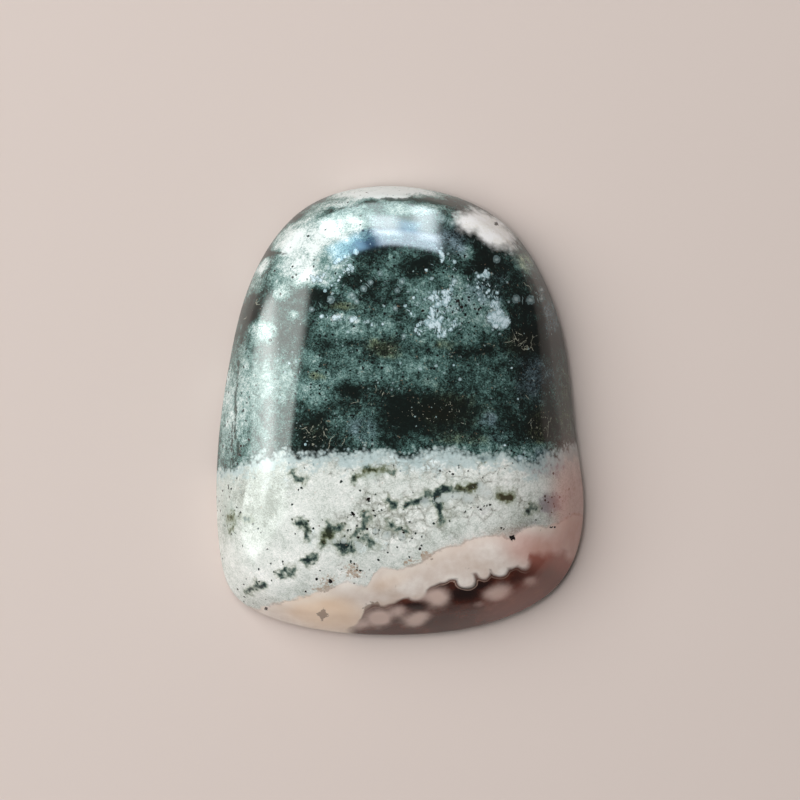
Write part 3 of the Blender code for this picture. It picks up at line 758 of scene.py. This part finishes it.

# The pale band: white chalcedony in cauliflower lobes, with painted shade on and between the lobes, frost,
# moss and black specks.
# Each lobe and blob darkens toward its rim: painted shade that makes the lobes look rounded.
pale_tone = broken(
    field["pale_tone"], (swells, 0.6), (billows, 0.3), (mottle, 0.28), (grit, 0.34), (middle["lobe"], -0.16),
    (middle["blob"], -0.22), (chance["dust"][0], 0.34),
)
pale_colour = add(
    "ShaderNodeValToRGB",
    {0: pale_tone},
    stops=((0.0, "#868c82"), (0.3, "#b3bab2"), (0.55, "#d3d8d2"), (0.8, "#e6e8e3"), (1.0, "#fbfbf7")),
)
frost = broken(field["frost"], (mottle, 2.0))
pale_colour = lay(pale_colour, "#c2d9de", frost, 0.2, 1.0, 0.55, blend_type="COLOR")
sage = broken(field["sage"], (mottle, 1.5), (grit, 0.8))
pale_colour = lay(pale_colour, "#8fa49a", sage, 0.2, 1.1, 0.55)
violet = broken(field["violet"], (mottle, 2.4), (grit, 1.4))
pale_colour = lay(pale_colour, "#77727b", violet, 0.2, 1.5, 0.75)
# Painted shade between the lobes: a soft grey fall-off toward each gap, and a thin dark line in it.
shade_between_lobes = broken(field["shade_between_lobes"], (billows, 1.5), (mottle, 2.2))
for name, shut, most in (("lobe", 0.25, 0.6), ("blob", 0.55, 0.45)):
    inputs = {0: shade_between_lobes, 1: shut, 2: shut + 0.7, 4: most}
    lobe_shade_here = add("ShaderNodeMapRange", inputs, interpolation_type="SMOOTHSTEP")
    pale_colour = lay(pale_colour, "#93958a", broken(gap[name], (mottle, 0.3)), 0.18, 0.0, lobe_shade_here)
    pale_colour = lay(pale_colour, "#53564a", broken(gap[name], (grit, 0.16)), 0.04, -0.02, lobe_shade_here)
pale_colour = lay(pale_colour, "#1d2926", fleck_reach, 0.5, 0.3, flecked)
moss = broken(field["moss"], (middle["blob"], 0.34), (middle["grain"], 0.16), (mottle, 0.35), (grit, 0.3))
moss_edge = lay("#4b5f57", "#60674c", field["sage"], 0.35, 0.75)
moss_core = lay("#101f21", "#222819", field["sage"], 0.35, 0.75)
pale_colour = lay(pale_colour, "#8f9782", moss, -0.32, -0.02, 0.6)
pale_colour = lay(pale_colour, moss_edge, moss, -0.15, 0.05, 0.92)
pale_colour = lay(pale_colour, moss_core, moss, 0.0, 0.15, 0.92)
# A ring of painted shadow round each round lobe, then its lighter rim and a bluish inside.
lobe_reach = broken(radius["round_lobe"], (grit, 0.8), (mottle, 1.4))
pale_colour = lay(pale_colour, "#6b766e", lobe_reach, 1.4, 1.1, 0.35)
pale_colour = lay(pale_colour, "#dae2df", lobe_reach, 1.1, 0.8, 0.35)
pale_colour = lay(pale_colour, "#bccaca", lobe_reach, 0.8, 0.2, 0.25)

# The cream foot, lighter under its grey upper line, and the brown under it. Its rosy cast to the right,
# partly painted reflection and shade, is laid on below.
cream_colour = add(
    "ShaderNodeValToRGB",
    {0: broken(0.66, (swells, 1.7), (mottle, 0.15), (chance["dust"][0], 0.06))},
    stops=((0.0, "#b99d8e"), (0.35, "#d2bfb1"), (0.65, "#e1d4ca"), (1.0, "#f7f0e8")),
)
cream_colour = lay(cream_colour, "#f8dabb", field["warm"], 0.0, 1.0, 0.75)
patch_colour = add(
    "ShaderNodeValToRGB",
    {0: broken(0.85, (billows, 1.2), (grit, 0.6), (chance["dust"][0], 0.2))},
    stops=((0.0, "#bdbab0"), (0.5, "#eceae2"), (1.0, "#ffffff")),
)
brown_colour = add(
    "ShaderNodeValToRGB",
    {0: broken(0.5, (billows, 1.2), (grit, 0.2), (chance["dust"][0], 0.08))},
    stops=((0.0, "#1c0b05"), (0.5, "#421a0f"), (1.0, "#703c2c")),
)
brown_colour = lay(brown_colour, "#140b09", field["core"], 0.1, 1.0, 0.85)
brown_colour = lay(brown_colour, "#d8bfb4", broken(field["soft_orb"], (mottle, 0.3)), 0.05, 0.95, 0.9)

# The minerals, each laid over the last from its own ragged edge inwards.
pale_edge = broken(
    field["pale"], (billows, 0.7), (mottle, 0.7), (middle["blob"], -0.35), (middle["grain"], -0.5),
    (grit, 0.4),
)
pale_rim = broken(pale_edge, (billows, 1.8), (mottle, 1.6), (grit, 0.8))
pale_colour = lay(pale_colour, "#aabebf", pale_rim, 0.9, 0.1, 0.7)
colour = lay(green, pale_colour, pale_edge, -0.42, 0.22)
patch_edge = broken(field["patch"], (billows, 0.5), (mottle, 0.25), (middle["blob"], -0.2))
colour = lay(colour, patch_colour, patch_edge, -0.32, 0.24)
beige = broken(field["beige"], (grit, 2.0))
colour = lay(colour, "#a68f78", beige, 0.3, 0.7, 0.8)
cream_edge = broken(field["cream"], (mottle, 0.3), (grit, 0.2))
colour = lay(colour, cream_colour, cream_edge, -0.16, 0.10)
under_line = add(
    "ShaderNodeMapRange", {0: cream_edge, 1: 0.9, 2: 0.15, 4: 0.45}, interpolation_type="SMOOTHSTEP"
)
colour = lay(colour, "#eee4d8", cream_edge, 0.0, 0.15, under_line)
from_cream_line = add("ShaderNodeMath", {0: cream_edge}, operation="ABSOLUTE")
line_shows = add("ShaderNodeMapRange", {0: billows, 1: 0.42, 2: 0.6, 4: 0.5}, interpolation_type="SMOOTHSTEP")
colour = lay(colour, "#96897c", from_cream_line, 0.10, 0.0, line_shows)
in_cream = add("ShaderNodeMapRange", {0: cream_edge, 1: 0.0, 2: 0.1, 4: 0.8}, interpolation_type="SMOOTHSTEP")
colour = lay(colour, "#8e7a6b", beige, 0.5, 0.9, in_cream)
brown_edge = broken(field["brown"], (mottle, 0.12))
inside_rim = add("ShaderNodeMath", {0: brown_edge, 1: 0.12}, operation="SUBTRACT")
from_rim_line = add("ShaderNodeMath", {0: inside_rim}, operation="ABSOLUTE")
brown_colour = lay(brown_colour, "#a98f80", from_rim_line, 0.05, 0.0, field["rim"])
colour = lay(colour, brown_colour, brown_edge, -0.14, 0.10)
# A rosy cast to the right: partly the stone's own tint, partly painted reflection of skin and painted shade.
colour = lay(colour, "#cf8272", field["rose_tint_reflection_and_shade"], 0.0, 1.0, 0.6)
# Each pit is painted near-black: painted shade inside the hole, over the dent that the bump makes.
pit_reach = broken(radius["pit"], (grit, 2.5))
in_pit = add("ShaderNodeMapRange", {0: pit_reach, 1: 1.2, 2: 0.75}, interpolation_type="SMOOTHSTEP")
colour = lay(colour, "#1a1311", in_pit, 0.0, 1.0)

tree.links.new(colour, shader.inputs["Base Color"])
shader.inputs["Metallic"].default_value = 0.0
shader.inputs["Roughness"].default_value = POLISH
shader.inputs["IOR"].default_value = QUARTZ_IOR

# Pits break the polish, and softer grains lie a hair lower than the quartz round them.
grain_height = add("ShaderNodeMath", {0: grit, 1: 0.04}, operation="MULTIPLY")
relief = add("ShaderNodeMath", {0: grain_height, 1: in_pit}, operation="SUBTRACT")
bump = add("ShaderNodeBump", {"Height": relief, "Strength": 0.3, "Distance": 0.05 * MM})
tree.links.new(bump, shader.inputs["Normal"])
stone_mesh.materials.append(agate)

stone = bpy.data.objects.new("polished_stone", stone_mesh)
bpy.context.scene.collection.objects.link(stone)
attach(stone, "root")
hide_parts("cabochon")

# The floor.
# A sheet of pale, slightly warm matte card under the stone, wide enough to fill every view.
FLOOR_HALF = 1.0
floor_mesh = bpy.data.meshes.new("floor")
corners = [(x * FLOOR_HALF, y * FLOOR_HALF, 0) for x, y in ((-1, -1), (1, -1), (1, 1), (-1, 1))]
floor_mesh.from_pydata(corners, [], [(0, 1, 2, 3)])
floor = bpy.data.objects.new("floor", floor_mesh)
bpy.context.scene.collection.objects.link(floor)
card = bpy.data.materials.new("matte_card")
card.use_nodes = True
card_shader = card.node_tree.nodes["Principled BSDF"]
card_shader.inputs["Base Color"].default_value = paint("#cdc0b9")
card_shader.inputs["Roughness"].default_value = 1.0
card_shader.inputs["Specular IOR Level"].default_value = 0.05
floor_mesh.materials.append(card)

# The light.
# Two windows that show in the polish, one to the left and one beyond the narrow end with blue sky
# in it, and a soft overhead panel that lights the stone's colours but is kept out of the polish.
LIGHT_DISTANCE = 0.35
SOFT_STEPS = 4
PANEL_GAP = 0.004


def panel(name, azimuth, elevation, wide, tall, lean, radiance, colour, in_polish, behind=0.0):
    """A rectangular light seen from the stone at that azimuth (from +X towards +Y) and elevation,
    wide and tall in degrees, and turned by its lean so that its side of greater azimuth goes up.
    Its power is its radiance times pi times its area."""
    distance = LIGHT_DISTANCE + behind
    turn, rise = np.radians(azimuth), np.radians(elevation)
    direction = Vector((np.cos(rise) * np.cos(turn), np.cos(rise) * np.sin(turn), np.sin(rise)))
    data = bpy.data.lights.new(name, "AREA")
    data.shape = "RECTANGLE"
    data.size = 2 * distance * np.tan(np.radians(wide / 2))
    data.size_y = 2 * distance * np.tan(np.radians(tall / 2))
    data.energy = radiance * np.pi * data.size * data.size_y
    data.color = paint(colour)[:3]
    lamp = bpy.data.objects.new(name, data)
    lamp.location = direction * distance
    leaning = Quaternion((0.0, 0.0, 1.0), np.radians(lean))
    lamp.rotation_euler = (direction.to_track_quat("Z", "Y") @ leaning).to_euler()
    lamp.visible_glossy, lamp.visible_diffuse = in_polish, not in_polish
    bpy.context.scene.collection.objects.link(lamp)


def window(name, azimuth, elevation, wide, tall, lean, radiance, colour, soft):
    """A window with soft edges: panels one behind the other, each smaller than the last by its share
    of the soft edge in degrees."""
    for step in range(SOFT_STEPS):
        inset = soft * (2 * step / (SOFT_STEPS - 1) - 1)
        behind = PANEL_GAP * step
        size = (wide - inset, tall - inset)
        panel(f"{name}_{step}", azimuth, elevation, *size, lean, radiance / SOFT_STEPS, colour, True, behind)


window("left_window", 180, 21.5, 54, 50, 22, 5.9, "#f6fdf8", 4)
window("left_window_glare", 172, 16, 30, 10, 50, 6.5, "#f8fffc", 5)
window("far_window_low", 98, 8, 50, 26, 0, 7.6, "#dcefee", 3)
window("far_window_top_pane", 82, 30, 28, 16, 8, 14.0, "#dcf0ff", 3)
window("far_window_left_pane", 93, 19, 12, 18, 0, 11.0, "#e8f6ff", 3)
window("far_window_middle_pane", 82, 18, 8, 10, 0, 7.0, "#9cd4ff", 3)
window("far_window_right_pane", 75, 13, 8, 28, 12, 8.5, "#e8f6ff", 3)
window("deep_sky", 104, 31, 12, 18, 4, 3.0, "#82bdff", 3)
window("pale_sky", 118, 33, 17, 15, 0, 10.0, "#ace0ff", 3)
panel("overhead", 155, 56, 70, 60, 0, 3.35, "#ffffff", False)

world = bpy.data.worlds.new("room")
bpy.context.scene.world = world
world.use_nodes = True
world.node_tree.nodes["Background"].inputs["Color"].default_value = paint("#ffffff")
world.node_tree.nodes["Background"].inputs["Strength"].default_value = 0.12

# The camera looks straight down on the stone, as the photograph does.
CAMERA_HEIGHT = 0.4
CAMERA_ALONG = 0.585 * MM
FRAME_WIDTH = 44.54 * MM
SENSOR_WIDTH = 36.0
camera_data = bpy.data.cameras.new("camera")
camera_data.sensor_width = SENSOR_WIDTH
camera_data.lens = SENSOR_WIDTH * (CAMERA_HEIGHT - (BACK_BEVEL + GIRDLE_BAND) * MM) / FRAME_WIDTH
camera_data.clip_start = 0.01
camera = bpy.data.objects.new("camera", camera_data)
camera.location = (0.0, CAMERA_ALONG, CAMERA_HEIGHT)
bpy.context.scene.collection.objects.link(camera)
bpy.context.scene.camera = camera
bpy.context.scene.view_settings.view_transform = "Standard"
